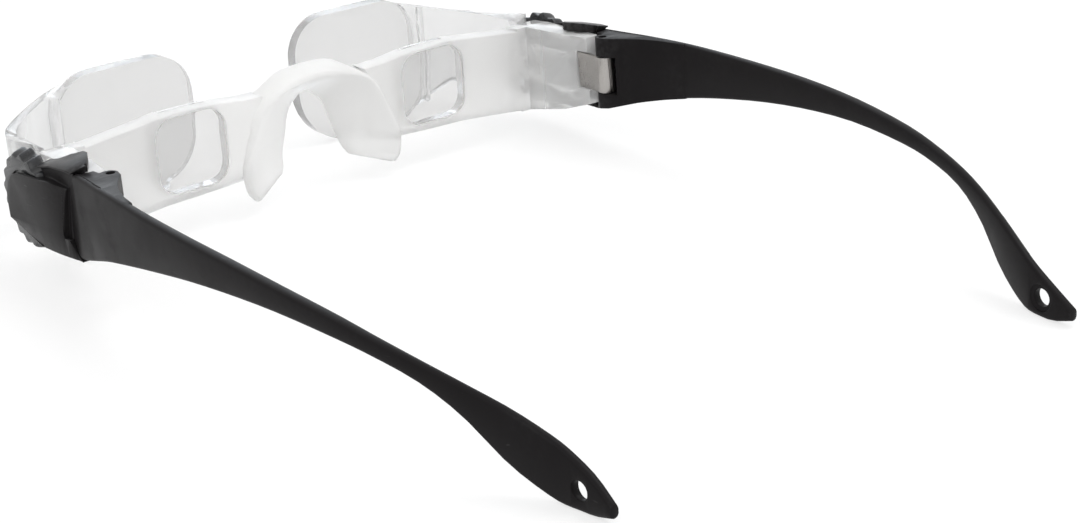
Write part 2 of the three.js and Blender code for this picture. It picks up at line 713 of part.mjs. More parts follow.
function carrier() {
  const tongueOut = hingeX - tongueIn + tongueThickness;
  const outer = placed(finer(carrierOuterShares), hingeX, objectiveFront);
  const inner = placed(finer(carrierInnerShares), hingeX, objectiveFront);
  const rimX = objectiveX + objectiveWidth / 2 + slip;
  const hornX = outer[0][0];
  const hornRear = -objectiveFront + objectiveEdge;
  const plan = [
    ...outer,
    [outer.at(-1)[0], -tongueRoot],
    [tongueOut, -tongueRoot],
    [tongueOut, -tongueRoot + slip],
    [hingeX - tongueIn, -tongueRoot + slip],
    ...inner,
    [rimX + flangeWidth, hornRear],
    [rimX + flangeWidth, -flangeRear],
    [rimX, -flangeRear],
    [rimX, hornRear],
    [hornX, hornRear],
  ];
  const front = [
    ...placed(finer(carrierTopShares), hingeX, objectiveHeight),
    ...placed(finer(carrierBottomShares), hingeX, objectiveHeight),
  ];
  const rise = placed(finer(carrierRiseShares), objectiveFront, objectiveHeight);
  const above = sidePrism([
    ...rise,
    [rise.at(-1)[0], hingeTop],
    [rise[0][0], hingeTop],
  ], hingeX - tongueIn - slip, hingeX + coverOut);
  const lensSpace = frontPrism(objectiveOutline(slip), -frontReach - overrun, -flangeRear + overrun);
  lensSpace.translate(objectiveX, 0, objectiveMiddle);
  const tongue = box(
    hingeX - tongueIn,
    tongueOut,
    -tongueRoot - tongueThickness,
    -tongueRear,
    -wheelDrop - tongueHeight / 2,
    -wheelDrop + tongueHeight / 2,
  );
  const slotHalfLength = focusTravel + axleRadius + running;
  const slotHalfHeight = axleRadius + running;
  const slot = roundedRectangle(2 * slotHalfLength, 2 * slotHalfHeight, axleRadius, 6);
  const slotCut = sidePrism(moved(slot, wheelY, -wheelDrop), hingeX - blockRoot, hingeX + blockOut + overrun);
  const seat = rodX(followerRadius + pinFit, tongueOut - followerSeat - slip, tongueOut + overrun);
  seat.translate(0, wheelY + followerOffset, -wheelDrop);
  return geometryOf(solidOf(planPrism(plan, -hingeTop, hingeTop))
    .intersect(solidOf(frontPrism(front, -frontReach - overrun, 0)))
    .subtract(solidOf(above))
    .subtract(solidOf(lensSpace))
    .add(solidOf(tongue))
    .subtract(solidOf(slotCut))
    .subtract(solidOf(seat)));
}

function followerPin() {
  const tongueOut = tongueThickness - tongueIn;
  return geometryOf(solidOf(rodX(followerRadius, tongueOut - followerSeat, wheelIn + followerDepth)));
}

// Focus wheel

// The spiral groove gives the follower the same travel for each degree of turn
function spiralGroove() {
  const leadPerRadian = focusTravel / focusTurn;
  const end = focusTurn + grooveRunOut;
  const [outerEdge, innerEdge] = [[], []];
  for (let step = 0; step <= grooveSteps; step += 1) {
    const angle = THREE.MathUtils.lerp(-end, end, step / grooveSteps);
    const radius = followerOffset - leadPerRadian * angle;
    const [far, near] = [radius + grooveHalfWidth, radius - grooveHalfWidth];
    outerEdge.push([far * Math.cos(angle), far * Math.sin(angle)]);
    innerEdge.push([near * Math.cos(angle), near * Math.sin(angle)]);
  }
  return sidePrism([...outerEdge, ...innerEdge.reverse()], -overrun, grooveDepth);
}

function focusWheel() {
  const points = wheelRidges * pointsPerRidge;
  const loops = wheelRowShares.map(([along, share]) => {
    const radius = THREE.MathUtils.lerp(wheelOuterRadius, wheelRadius, share);
    const loop = [];
    for (let i = 0; i < points; i += 1) {
      const angle = 2 * Math.PI * i / points;
      const wave = (1 - Math.cos((angle - ridgeTurn) * wheelRidges)) / 2;
      const r = radius - ridgeDepth * wave;
      loop.push([along * wheelWidth, r * Math.cos(angle), r * Math.sin(angle)]);
    }
    return loop;
  });
  const bore = rodX(axleRadius + axleFit, -overrun, wheelWidth + overrun);
  const hollow = rodX(wheelHubRadius, wheelWidth - wheelHubDepth, wheelWidth + overrun, largeSides);
  return geometryOf(solidOf(loft(loops))
    .subtract(solidOf(bore))
    .subtract(solidOf(hollow))
    .subtract(solidOf(spiralGroove())));
}

function wheelAxle() {
  return geometryOf(solidOf(rodX(axleRadius, -axleIn, padOut - plateThickness - running)));
}

function wheelWasher() {
  const ring = solidOf(rodX(washerRadius, 0, washerThickness));
  const hole = solidOf(rodX(axleRadius + axleFit, -overrun, washerThickness + overrun));
  return geometryOf(ring.subtract(hole));
}

// Cover

// The ledge's edge as seen from the side, moved down by a drop
function ledgeLine(drop) {
  return moved(placed(coverTopShares.slice(0, ledgePoints), coverLength, coverHeight), 0, -drop);
}

// All that lies under the cover's upper face, which rises inwards from the ledge
function underUpperFace() {
  const ledge = ledgeLine(0);
  const [front, outer] = [-coverLength - overrun, hingeX + coverOut];
  const below = sidePrism([
    [overrun, ledge[0][1]],
    ...ledge,
    [front, ledge.at(-1)[1]],
    [front, -hingeTop],
    [overrun, -hingeTop],
  ], hingeX - blockRoot, outer);
  below.translate(-outer, 0, 0);
  below.applyMatrix4(new THREE.Matrix4().makeShear(0, -coverLean, 0, 0, 0, 0));
  below.translate(outer, 0, 0);
  return solidOf(below);
}

// The flange over the end block
function coverFlange() {
  const plan = placed(coverFlangeShares, coverOut, coverLength, [hingeX, 0]);
  return solidOf(planPrism(plan, blockTopShares[0][1] * barHeight + slip, hingeTop));
}

// The plate's body, which leans outwards to clear the wheel and leans inwards along its lower edge
function plateBody() {
  const rows = smoothRows(plateRowShares, (plateRowShares.length - 1) * plateStepsPerRow);
  const [inner, lower] = [hingeX + coverIn, plateLowerShare * coverHeight];
  return solidOf(loft(rows.map(([along, out, lean, foot]) => {
    const y = along * coverLength;
    return [
      [inner, y, 0],
      [inner, y, lower],
      [hingeX + foot * padOut, y, lower],
      [hingeX + out * padOut, y, lean * coverHeight],
      [hingeX + out * padOut, y, 0],
    ];
  })));
}

function cover() {
  const outline = [
    ...placed(coverTopShares, coverLength, coverHeight),
    ...placed(coverSeamShares, coverLength, coverHeight),
  ];
  const raised = [...ledgeLine(-coverLean * coverOut), ...outline.slice(ledgePoints)];
  const [inner, outer] = [hingeX + coverIn, hingeX + padOut];
  const ledge = ledgeLine(ledgeLip);
  const sunk = sidePrism([
    [overrun, ledge[0][1]],
    ...ledge,
    [ledge.at(-1)[0], -hingeTop],
    [overrun, -hingeTop],
  ], hingeX + recessOut, outer);
  const plate = solidOf(sidePrism(outline, inner, outer))
    .intersect(solidOf(sidePrism(placed(plateShares, coverLength, coverHeight), inner, outer)))
    .intersect(plateBody());
  const wheelRoom = solidOf(rodX(wheelRadius + wheelSpace, inner - overrun, hingeX + wheelIn, largeSides))
    .add(solidOf(rodX(
      wheelRadius + wheelSpace,
      hingeX + wheelIn,
      outer - plateThickness,
      largeSides,
      wheelOuterRadius + wheelSpace,
    )))
    .translate(0, wheelY, -wheelDrop);
  let body = solidOf(sidePrism(raised, inner, hingeX + coverOut))
    .add(coverFlange())
    .intersect(underUpperFace())
    .subtract(solidOf(sunk))
    .add(plate)
    .subtract(wheelRoom);
  coverPinDrops.forEach((drop) => {
    const pin = rodX(coverPinRadius, inner - coverPinReach, inner + slip);
    pin.translate(0, coverPinY, -drop);
    body = body.add(solidOf(pin));
  });
  return geometryOf(body);
}

// Assembly

const wheelPlace = [hingeX + wheelIn, wheelY, -wheelDrop];
const washerPlace = [hingeX + (wheelIn + tongueThickness - tongueIn - washerThickness) / 2, wheelY, -wheelDrop];
const leftPieces = [
  { name: 'eyepiece_lens', geometry: eyepieceLens(), look: clearPlastic, place: [eyeX, 0, -eyeDrop] },
  {
    name: 'objective_lens',
    geometry: objectiveLens(),
    look: clearPlastic,
    place: [objectiveX, -objectiveFront + objectiveEdge / 2, objectiveMiddle],
  },
  { name: 'objective_carrier', geometry: carrier(), look: clearPlastic, place: [0, 0, 0] },
  {
    name: 'follower_pin',
    geometry: followerPin(),
    look: steel,
    place: [hingeX, wheelY + followerOffset, -wheelDrop],
  },
  { name: 'focus_wheel', geometry: focusWheel(), look: blackRubbery, place: wheelPlace },
  { name: 'wheel_axle', geometry: wheelAxle(), look: blackPlastic, place: [hingeX, wheelY, -wheelDrop] },
  { name: 'wheel_washer', geometry: wheelWasher(), look: steel, place: washerPlace },
  { name: 'cover', geometry: cover(), look: blackPlastic, place: [0, 0, 0] },
  { name: 'hinge_leaf', geometry: hingeLeaf(), look: steel, place: [hingeX, 0, -hingeMiddle], cant: hingeCant },
  { name: 'hinge_pin', geometry: hingePin(), look: steel, place: [hingeX, 0, -hingeMiddle], cant: hingeCant },
  { name: 'temple', geometry: arm(), look: blackPlastic, place: [0, 0, 0] },
];

const glasses = new THREE.Group();
glasses.position.set(0, hingeY, hingeTop);

function addPiece(name, geometry, look, place, cant) {
  const mesh = new THREE.Mesh(geometry, new THREE.MeshStandardMaterial(look));
  mesh.name = name;
  mesh.position.set(...place);
  mesh.rotation.y = -cant;
  glasses.add(mesh);
}

addPiece('eyepiece_frame', spectacleFrame(), frostedPlastic, [0, 0, 0], 0);
leftPieces.forEach(({ name, geometry, look, place, cant = 0 }) => {
  const [x, y, z] = place;
  addPiece(`${name}_left`, geometry, look, place, cant);
  addPiece(`${name}_right`, mirrored(geometry), look, [-x, y, z], -cant);
});

export default glasses;
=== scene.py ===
"""Binocular glasses: looks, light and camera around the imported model.

Lengths are in metres, or in mm where it says so.
"""
import math

import bpy
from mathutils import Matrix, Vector


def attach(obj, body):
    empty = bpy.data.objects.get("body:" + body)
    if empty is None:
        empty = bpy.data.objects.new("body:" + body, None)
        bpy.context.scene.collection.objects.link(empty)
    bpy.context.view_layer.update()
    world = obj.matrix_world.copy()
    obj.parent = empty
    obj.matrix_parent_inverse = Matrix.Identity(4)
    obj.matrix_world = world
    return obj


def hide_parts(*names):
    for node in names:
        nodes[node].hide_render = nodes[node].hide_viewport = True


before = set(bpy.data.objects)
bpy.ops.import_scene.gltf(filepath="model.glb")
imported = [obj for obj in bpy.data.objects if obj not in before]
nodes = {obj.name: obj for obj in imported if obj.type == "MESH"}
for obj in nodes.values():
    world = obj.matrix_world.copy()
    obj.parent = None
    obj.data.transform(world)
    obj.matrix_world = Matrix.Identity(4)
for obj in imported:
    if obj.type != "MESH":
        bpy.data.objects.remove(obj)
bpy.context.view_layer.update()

MM = 0.001
SIDES = ("left", "right")
ORIGIN = (0.0, 0.0, 0.0)


def opaque(red, green, blue):
    return (red, green, blue, 1.0)


WHITE = opaque(1.0, 1.0, 1.0)

# Meshes
WELD = 0.002 * MM
FLAT_ANGLE = math.radians(0.05)
SHARP_ANGLE = math.radians(34)
BEVEL_ANGLE = math.radians(40)
BEVEL_STEPS = 2
CORNER_STEPS = 14
LENS_SPOKES = 128
LENS_RINGS = 240

# Lens sizes in mm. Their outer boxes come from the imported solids
OBJECTIVE_ROUND = 9.3
OBJECTIVE_NOSE_ROUND = 14.0
OBJECTIVE_FRONT_SAG = 1.7
OBJECTIVE_REAR_SAG = 0.9
EYEPIECE_ROUND = 4.45
EYEPIECE_FLANGE_WIDTH = 0.9
EYEPIECE_FLANGE_DEPTH = 0.85
EYEPIECE_REAR_SAG = 0.8
EYEPIECE_FRONT_SAG = 0.5

# Shared surface detail: noise scales, and the noise values between which an effect starts and is full
NOISE_MIDDLE = (0.3, 0.7)
PATCH_SCALE = 90.0
# Edge mask: rubbed wear, and also painted highlights along the edges
EDGE_POINTINESS = (0.52, 0.60)
WEAR_AND_HIGHLIGHT_SCALE = 900.0
WEAR_AND_HIGHLIGHT_BREAKS = (0.35, 0.7)
WEAR_AND_HIGHLIGHT_LEAST = 0.2
SCRATCH_SCALE = 1300.0
SCRATCH_STRETCH = (1.0, 0.12, 1.0)
SCRATCH_TURN = (0.5, 0.0, 0.3)
SCRATCH_LINES = (0.72, 0.78)
SCRATCHED_AREA_SCALE = 60.0
SCRATCHED_AREAS = (0.5, 0.62)
RUBBED_SCALE = 150.0
RUBBED_SPOTS = (0.5, 0.75)

# Black plastic
BLACK_PATCH_GAIN = 1.25
BLACK_SCRATCHES = 0.35
BLACK_SMOOTHER, BLACK_ROUGHER = 0.04, 0.05
BLACK_RUBBED_ROUGHNESS = 0.08

# Clear plastic
CLEAR_IOR = 1.32
CLEAR_PATCH_SCALE = 160.0
CLEAR_PATCH_GAIN = 0.985
CLEAR_SCRATCH_ROUGHNESS = 0.12

# The frame's plastic: frosted up to FROST_END from the middle plane, polished beyond it
FRAME_CLEARNESS = 0.6
FRAME_IOR = 1.4
FRAME_GLOSS = 0.2
FROST_END = 60.2 * MM
FROST_BLUR = 0.5 * MM
FROST_SCALE = 5200.0
FROST_MM = 0.02
FROST_ROUGHNESS = (0.42, 0.52)
FROST_COLORS = (opaque(0.955, 0.952, 0.945), opaque(0.975, 0.972, 0.965))
POLISHED_ROUGHNESS = 0.10
POLISHED_COLOR = opaque(0.95, 0.95, 0.948)

# Steel, brushed along Z
BRUSH_SCALE = 6000.0
BRUSH_STRETCH = (1.0, 1.0, 0.06)
BRUSH_MM = 0.004
STEEL_PATCH_SCALE = 900.0
STEEL_ROUGHNESS = (0.26, 0.42)
STEEL_COLORS = (opaque(0.36, 0.345, 0.33), opaque(0.46, 0.44, 0.42))

# Backdrop: GLOW is what a direct look at the floor gets, BOUNCE what the floor throws on the object
FLOOR_SIZE = 6.0
FLOOR_DROP = 0.02 * MM
FLOOR_WHITE = 0.30
FLOOR_GLOW = 0.70
FLOOR_BOUNCE = 0.45
WORLD_LOW = 0.5
WORLD_HIGH = 1.0
WORLD_HIGH_FROM = 0.85

LIGHTS = (
    # name, place, size, watts, color; all point at the origin
    ("key", (-0.35, 0.15, 0.75), 0.5, 2.2, (1.0, 1.0, 1.0)),
    ("fill", (0.7, 0.5, 0.6), 0.8, 1.6, (1.0, 1.0, 1.0)),
    ("rear", (-0.60, -1.14, 0.60), 1.0, 2.6, (0.80, 0.90, 1.0)),
)

# Camera, solved from the photograph
CAMERA_PLACE = (0.25015, 0.35269, 0.16791)
CAMERA_TURN_DEG = (68.8217, 3.6922, 142.1586)
CAMERA_LENS_MM = 75.22
CAMERA_SENSOR_MM = 36.0
CAMERA_CLIP_START = 0.01


# Modelling

def only(piece):
    """Selects one object and nothing else."""
    bpy.ops.object.select_all(action="DESELECT")
    piece.select_set(True)
    bpy.context.view_layer.objects.active = piece


def edit_all(piece):
    """Opens a piece for editing with all of its mesh selected."""
    only(piece)
    bpy.ops.object.mode_set(mode="EDIT")
    bpy.ops.mesh.select_all(action="SELECT")


def edit_done():
    bpy.ops.object.mode_set(mode="OBJECT")


def linked_copy(source, name):
    """A copy of an object with a mesh of its own."""
    piece = source.copy()
    piece.data = source.data.copy()
    piece.name = piece.data.name = name
    bpy.context.scene.collection.objects.link(piece)
    return piece


def copy_of_node(node, name):
    """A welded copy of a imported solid's mesh, with its flat faces joined, for finer work."""
    piece = linked_copy(nodes[node], name)
    for key in list(piece.keys()):
        del piece[key]
    piece.parent = None
    edit_all(piece)
    bpy.ops.mesh.remove_doubles(threshold=WELD)
    bpy.ops.mesh.dissolve_limited(angle_limit=FLAT_ANGLE)
    edit_done()
    return piece


def mirror_copy(source, name):
    """The same piece for the other side, with its faces turned outwards again."""
    piece = linked_copy(source, name)
    edit_all(piece)
    bpy.ops.transform.resize(value=(-1.0, 1.0, 1.0), center_override=ORIGIN)
    bpy.ops.mesh.normals_make_consistent(inside=False)
    edit_done()
    return piece


def cube(name, low, high):
    """A box between two corners, in mm."""
    bpy.ops.mesh.primitive_cube_add(size=1.0, location=ORIGIN)
    piece = bpy.context.active_object
    piece.name = piece.data.name = name
    edit_all(piece)
    bpy.ops.transform.resize(value=[(b - a) * MM for a, b in zip(low, high)], center_override=ORIGIN)
    bpy.ops.transform.translate(value=[(a + b) / 2 * MM for a, b in zip(low, high)])
    edit_done()
    return piece


def ball(radius, middle):
    """A fine ball, in mm. Its poles lie along Y, where it cuts a lens, so its faces there are small."""
    bpy.ops.mesh.primitive_uv_sphere_add(segments=LENS_SPOKES, ring_count=LENS_RINGS, radius=radius * MM,
                                         location=ORIGIN)
    piece = bpy.context.active_object
    edit_all(piece)
    bpy.ops.transform.rotate(value=math.pi / 2, orient_axis="X", center_override=ORIGIN)
    bpy.ops.transform.translate(value=[place * MM for place in middle])
    edit_done()
    return piece


def combine(piece, tool, operation):
    """Joins or cuts a piece with another, which is used up."""
    only(piece)
    boolean = piece.modifiers.new("Boolean", "BOOLEAN")
    boolean.object = tool
    boolean.operation = operation
    boolean.solver = "EXACT"
    bpy.ops.object.modifier_apply(modifier=boolean.name)
    bpy.data.objects.remove(tool, do_unlink=True)


def edit_corner_edges(piece, corners):
    """Opens a slab for editing with the edges along Y selected that lie at the given signs of x and z."""
    only(piece)
    middle = sum((Vector(corner) for corner in piece.bound_box), Vector()) / 8
    bpy.ops.object.mode_set(mode="EDIT")
    bpy.ops.mesh.select_mode(type="EDGE")
    bpy.ops.mesh.select_all(action="DESELECT")
    edit_done()
    for edge in piece.data.edges:
        a, b = (piece.data.vertices[i].co for i in edge.vertices)
        place = (a + b) / 2 - middle
        along = abs(a.x - b.x) < WELD and abs(a.z - b.z) < WELD
        edge.select = along and (place.x > 0, place.z > 0) in corners
    bpy.ops.object.mode_set(mode="EDIT")


def rounded_slab(name, low, high, radius, nose_radius=None):
    """A slab, in mm, with four rounded corners. The lower one towards the nose can have its own radius."""
    piece = cube(name, low, high)
    nose = {(False, False)}
    others = {(True, True), (True, False), (False, True)}
    for corners, width in ((others, radius), (nose, nose_radius or radius)):
        edit_corner_edges(piece, corners)
        bpy.ops.mesh.bevel(offset=width * MM, segments=CORNER_STEPS, profile=0.5, clamp_overlap=False)
        edit_done()
    return piece


def rounded(piece, width):
    """Rounds the sharp edges by a width in mm."""
    only(piece)
    bevel = piece.modifiers.new("Bevel", "BEVEL")
    bevel.width = width * MM
    bevel.segments = BEVEL_STEPS
    bevel.limit_method = "ANGLE"
    bevel.angle_limit = BEVEL_ANGLE
    bevel.use_clamp_overlap = False
    bevel.miter_outer = "MITER_ARC"
    bpy.ops.object.modifier_apply(modifier=bevel.name)


def smooth(piece):
    only(piece)
    bpy.ops.object.shade_smooth_by_angle(angle=SHARP_ANGLE)


def body_on(side, body):
    """The frame is one body; every other body has a left and a right one."""
    return body if body == "frame" else f"{body}_{side}"


def finished(piece, node, body, material):
    """Puts a piece in the place of its node, on its body and with its finish."""
    piece.data.materials.clear()
    piece.data.materials.append(material)
    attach(piece, body)
    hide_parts(node)


# Materials

class Nodes:
    """A node tree with short ways to add and link nodes.

    A value is a number, a colour or another node's output.
    """

    # Where a Mix node keeps its A and its result: B comes after A
    MIX_SOCKETS = {"RGBA": (6, 2), "FLOAT": (2, 0)}

    def __init__(self, tree):
        self.tree = tree

    def add(self, kind, **settings):
        node = self.tree.nodes.new(kind)
        for name, value in settings.items():
            setattr(node, name, value)
        return node

    def feed(self, value, socket):
        if isinstance(value, bpy.types.NodeSocket):
            self.tree.links.new(value, socket)
        else:
            socket.default_value = value

    def noise(self, vector, scale, detail=3.0, roughness=0.55):
        node = self.add("ShaderNodeTexNoise")
        values = {"Vector": vector, "Scale": scale, "Detail": detail, "Roughness": roughness}
        for name, value in values.items():
            self.feed(value, node.inputs[name])
        return node.outputs["Fac"]

    def range(self, value, span, result=(0.0, 1.0)):
        """Maps the values of a span softly to those of another."""
        node = self.add("ShaderNodeMapRange", interpolation_type="SMOOTHSTEP")
        for name, number in zip(("From Min", "From Max", "To Min", "To Max"), (*span, *result)):
            node.inputs[name].default_value = number
        self.feed(value, node.inputs["Value"])
        return node.outputs["Result"]

    def math(self, operation, a, b):
        node = self.add("ShaderNodeMath", operation=operation)
        self.feed(a, node.inputs[0])
        self.feed(b, node.inputs[1])
        return node.outputs["Value"]

    def mix(self, factor, a, b, kind="RGBA"):
        node = self.add("ShaderNodeMix", data_type=kind)
        first, result = self.MIX_SOCKETS[kind]
        self.feed(factor, node.inputs["Factor"])
        self.feed(a, node.inputs[first])
        self.feed(b, node.inputs[first + 1])
        return node.outputs[result]

    def stretched(self, vector, scale, turn=(0.0, 0.0, 0.0)):
        node = self.add("ShaderNodeMapping")
        node.inputs["Scale"].default_value = scale
        node.inputs["Rotation"].default_value = turn
        self.feed(vector, node.inputs["Vector"])
        return node.outputs["Vector"]

    def axis(self, vector, name):
        node = self.add("ShaderNodeSeparateXYZ")
        self.feed(vector, node.inputs["Vector"])
        return node.outputs[name]


def group(name, settings, results):
    """A new shader node group that takes a place and some numbers, and gives numbers."""
    tree = bpy.data.node_groups.new(name, "ShaderNodeTree")
    tree.interface.new_socket("Vector", in_out="INPUT", socket_type="NodeSocketVector")
    for label in settings:
        tree.interface.new_socket(label, in_out="INPUT", socket_type="NodeSocketFloat")
    for label in results:
        tree.interface.new_socket(label, in_out="OUTPUT", socket_type="NodeSocketFloat")
    work = Nodes(tree)
    return work, work.add("NodeGroupInput").outputs, work.add("NodeGroupOutput").inputs


def moulded_grain():
    """Fine moulded texture: a height for bump, and slow patches for tone and roughness."""
    work, start, end = group("moulded_grain", ("Scale",), ("Height", "Patches"))
    work.feed(work.noise(start["Vector"], start["Scale"]), end["Height"])
    work.feed(work.noise(start["Vector"], PATCH_SCALE, detail=2.0), end["Patches"])
    return work.tree


def edge_wear_and_highlight():
    """Rubbed edges and painted edge highlights: 1 on outer edges and corners, broken up by noise."""
    work, start, end = group("edge_wear_and_highlight", ("Amount",), ("Mask",))
    edges = work.range(work.add("ShaderNodeNewGeometry").outputs["Pointiness"], EDGE_POINTINESS)
    breaks = work.noise(start["Vector"], WEAR_AND_HIGHLIGHT_SCALE, detail=4.0)
    worn_and_lit = work.math("MULTIPLY", edges, work.range(breaks, WEAR_AND_HIGHLIGHT_BREAKS, (WEAR_AND_HIGHLIGHT_LEAST, 1.0)))
    work.feed(work.math("MULTIPLY", worn_and_lit, start["Amount"]), end["Mask"])
    return work.tree


def scuffs():
    """Thin short scratches and dull rubbed spots."""
    work, start, end = group("scuffs", (), ("Scratches", "Rubbed"))
    along = work.stretched(start["Vector"], SCRATCH_STRETCH, SCRATCH_TURN)
    lines = work.range(work.noise(along, SCRATCH_SCALE, detail=1.0), SCRATCH_LINES)
    areas = work.range(work.noise(start["Vector"], SCRATCHED_AREA_SCALE, detail=1.0), SCRATCHED_AREAS)
    work.feed(work.math("MULTIPLY", lines, areas), end["Scratches"])
    spots = work.noise(start["Vector"], RUBBED_SCALE, detail=5.0, roughness=0.65)
    work.feed(work.range(spots, RUBBED_SPOTS), end["Rubbed"])
    return work.tree


GRAIN, WEAR_AND_HIGHLIGHT_GROUP, SCUFFS = moulded_grain(), edge_wear_and_highlight(), scuffs()


def new_material(name):
    """A material, its nodes, its shader's inputs and the place on the object."""
    material = bpy.data.materials.new(name)
    material.use_nodes = True
    work = Nodes(material.node_tree)
    shader = material.node_tree.nodes["Principled BSDF"].inputs
    place = work.add("ShaderNodeTexCoord").outputs["Object"]
    return material, work, shader, place


def placed_group(work, tree, place, **settings):
    node = work.add("ShaderNodeGroup", node_tree=tree)
    work.feed(place, node.inputs["Vector"])
    for name, value in settings.items():
        node.inputs[name.title()].default_value = value
    return node.outputs


def bump(work, shader, height, distance):
    """A bump with a full height in mm."""
    node = work.add("ShaderNodeBump")
    node.inputs["Distance"].default_value = distance * MM
    node.inputs["Strength"].default_value = 1.0
    work.feed(height, node.inputs["Height"])
    work.feed(node.outputs["Normal"], shader["Normal"])


def scaled(color, gain):
    return opaque(*(part * gain for part in color[:3]))


def black_plastic(name, color, worn_and_highlight_color, roughness, gloss, grain_scale, grain_mm, wear_and_highlight_amount):
    """Moulded black plastic with satin grain, edges lightened by rubbing and by a painted highlight, and a
    few scuffs.
    """
    material, work, shader, place = new_material(name)
    shader["Specular IOR Level"].default_value = gloss
    grain = placed_group(work, GRAIN, place, scale=grain_scale)
    worn_and_lit = placed_group(work, WEAR_AND_HIGHLIGHT_GROUP, place, amount=wear_and_highlight_amount)
    marks = placed_group(work, SCUFFS, place)
    tone = work.mix(grain["Patches"], color, scaled(color, BLACK_PATCH_GAIN))
    # Lighter edges: partly rubbed wear, partly a painted edge highlight
    tone = work.mix(worn_and_lit["Mask"], tone, worn_and_highlight_color)
    tone = work.mix(work.math("MULTIPLY", marks["Scratches"], BLACK_SCRATCHES), tone, worn_and_highlight_color)
    work.feed(tone, shader["Base Color"])
    spread = (roughness - BLACK_SMOOTHER, roughness + BLACK_ROUGHER)
    rough = work.range(grain["Patches"], NOISE_MIDDLE, spread)
    rubbed = work.math("MULTIPLY", marks["Rubbed"], BLACK_RUBBED_ROUGHNESS)
    work.feed(work.math("ADD", rough, rubbed), shader["Roughness"])
    bump(work, shader, grain["Height"], grain_mm)
    return material


def clear_plastic(name, color, roughness, ripple_mm, clearness):
    """Polished plastic with a faint moulded ripple. What its clearness leaves of 1 is a milky haze."""
    material, work, shader, place = new_material(name)
    shader["Transmission Weight"].default_value = clearness
    shader["IOR"].default_value = CLEAR_IOR
    marks = placed_group(work, SCUFFS, place)
    grain = placed_group(work, GRAIN, place, scale=CLEAR_PATCH_SCALE)
    work.feed(work.mix(grain["Patches"], color, scaled(color, CLEAR_PATCH_GAIN)), shader["Base Color"])
    haze = work.math("MULTIPLY", marks["Scratches"], CLEAR_SCRATCH_ROUGHNESS)
    work.feed(work.math("ADD", haze, roughness), shader["Roughness"])
    bump(work, shader, grain["Height"], ripple_mm)
    return material


def frame_plastic():
    """Clear plastic that is frosted on the bar and bridge and polished on the end blocks."""
    material, work, shader, place = new_material("frosted_and_clear_plastic")
    shader["Transmission Weight"].default_value = FRAME_CLEARNESS
    shader["IOR"].default_value = FRAME_IOR
    shader["Specular IOR Level"].default_value = FRAME_GLOSS
    across = work.math("ABSOLUTE", work.axis(place, "X"), 0.0)
    polished = work.range(across, (FROST_END - FROST_BLUR, FROST_END + FROST_BLUR))
    grain = placed_group(work, GRAIN, place, scale=FROST_SCALE)
    frost = work.range(grain["Patches"], NOISE_MIDDLE, FROST_ROUGHNESS)
    work.feed(work.mix(polished, frost, POLISHED_ROUGHNESS, kind="FLOAT"), shader["Roughness"])
    tone = work.mix(grain["Patches"], *FROST_COLORS)
    work.feed(work.mix(polished, tone, POLISHED_COLOR), shader["Base Color"])
    unpolished = work.math("SUBTRACT", 1.0, polished)
    bump(work, shader, work.math("MULTIPLY", grain["Height"], unpolished), FROST_MM)
    return material


def satin_steel():
    material, work, shader, place = new_material("satin_steel")
    shader["Metallic"].default_value = 1.0
    brushed = work.noise(work.stretched(place, BRUSH_STRETCH), BRUSH_SCALE)
    grain = placed_group(work, GRAIN, place, scale=STEEL_PATCH_SCALE)
    work.feed(work.mix(grain["Patches"], *STEEL_COLORS), shader["Base Color"])
    work.feed(work.range(brushed, NOISE_MIDDLE, STEEL_ROUGHNESS), shader["Roughness"])
    bump(work, shader, brushed, BRUSH_MM)
    return material


# Edge colours: rubbed wear and painted highlights; the cover's brighter one paints its light edge lines,
# the wheel's bluish one paints bluish highlights on its ridges
TEMPLE_BLACK = black_plastic(
    "temple_black", color=opaque(0.0105, 0.0095, 0.010), worn_and_highlight_color=opaque(0.07, 0.069, 0.07),
    roughness=0.36, gloss=0.06, grain_scale=3600.0, grain_mm=0.004, wear_and_highlight_amount=0.5)
COVER_BLACK = black_plastic(
    "cover_black", color=opaque(0.0105, 0.0095, 0.010), worn_and_highlight_color=opaque(0.10, 0.099, 0.10),
    roughness=0.32, gloss=0.09, grain_scale=3600.0, grain_mm=0.004, wear_and_highlight_amount=0.7)
GRIP_BLACK = black_plastic(
    "wheel_black", color=opaque(0.010, 0.0105, 0.012), worn_and_highlight_color=opaque(0.09, 0.095, 0.11),
    roughness=0.24, gloss=0.45, grain_scale=2600.0, grain_mm=0.006, wear_and_highlight_amount=0.8)
AXLE_BLACK = black_plastic(
    "axle_black", color=opaque(0.012, 0.012, 0.012), worn_and_highlight_color=opaque(0.06, 0.06, 0.06),
    roughness=0.4, gloss=0.3, grain_scale=3000.0, grain_mm=0.004, wear_and_highlight_amount=0.4)
LENS_CLEAR = clear_plastic(
    "lens_clear", color=opaque(0.80, 0.798, 0.795), roughness=0.02, ripple_mm=0.0, clearness=0.85)
CARRIER_CLEAR = clear_plastic(
    "carrier_clear", color=opaque(0.92, 0.92, 0.92), roughness=0.08, ripple_mm=0.01, clearness=0.75)
EYEPIECE_CLEAR = clear_plastic(
    "eyepiece_clear", color=opaque(0.85, 0.848, 0.845), roughness=0.02, ripple_mm=0.0, clearness=0.85)
FRAME_PLASTIC = frame_plastic()
STEEL = satin_steel()


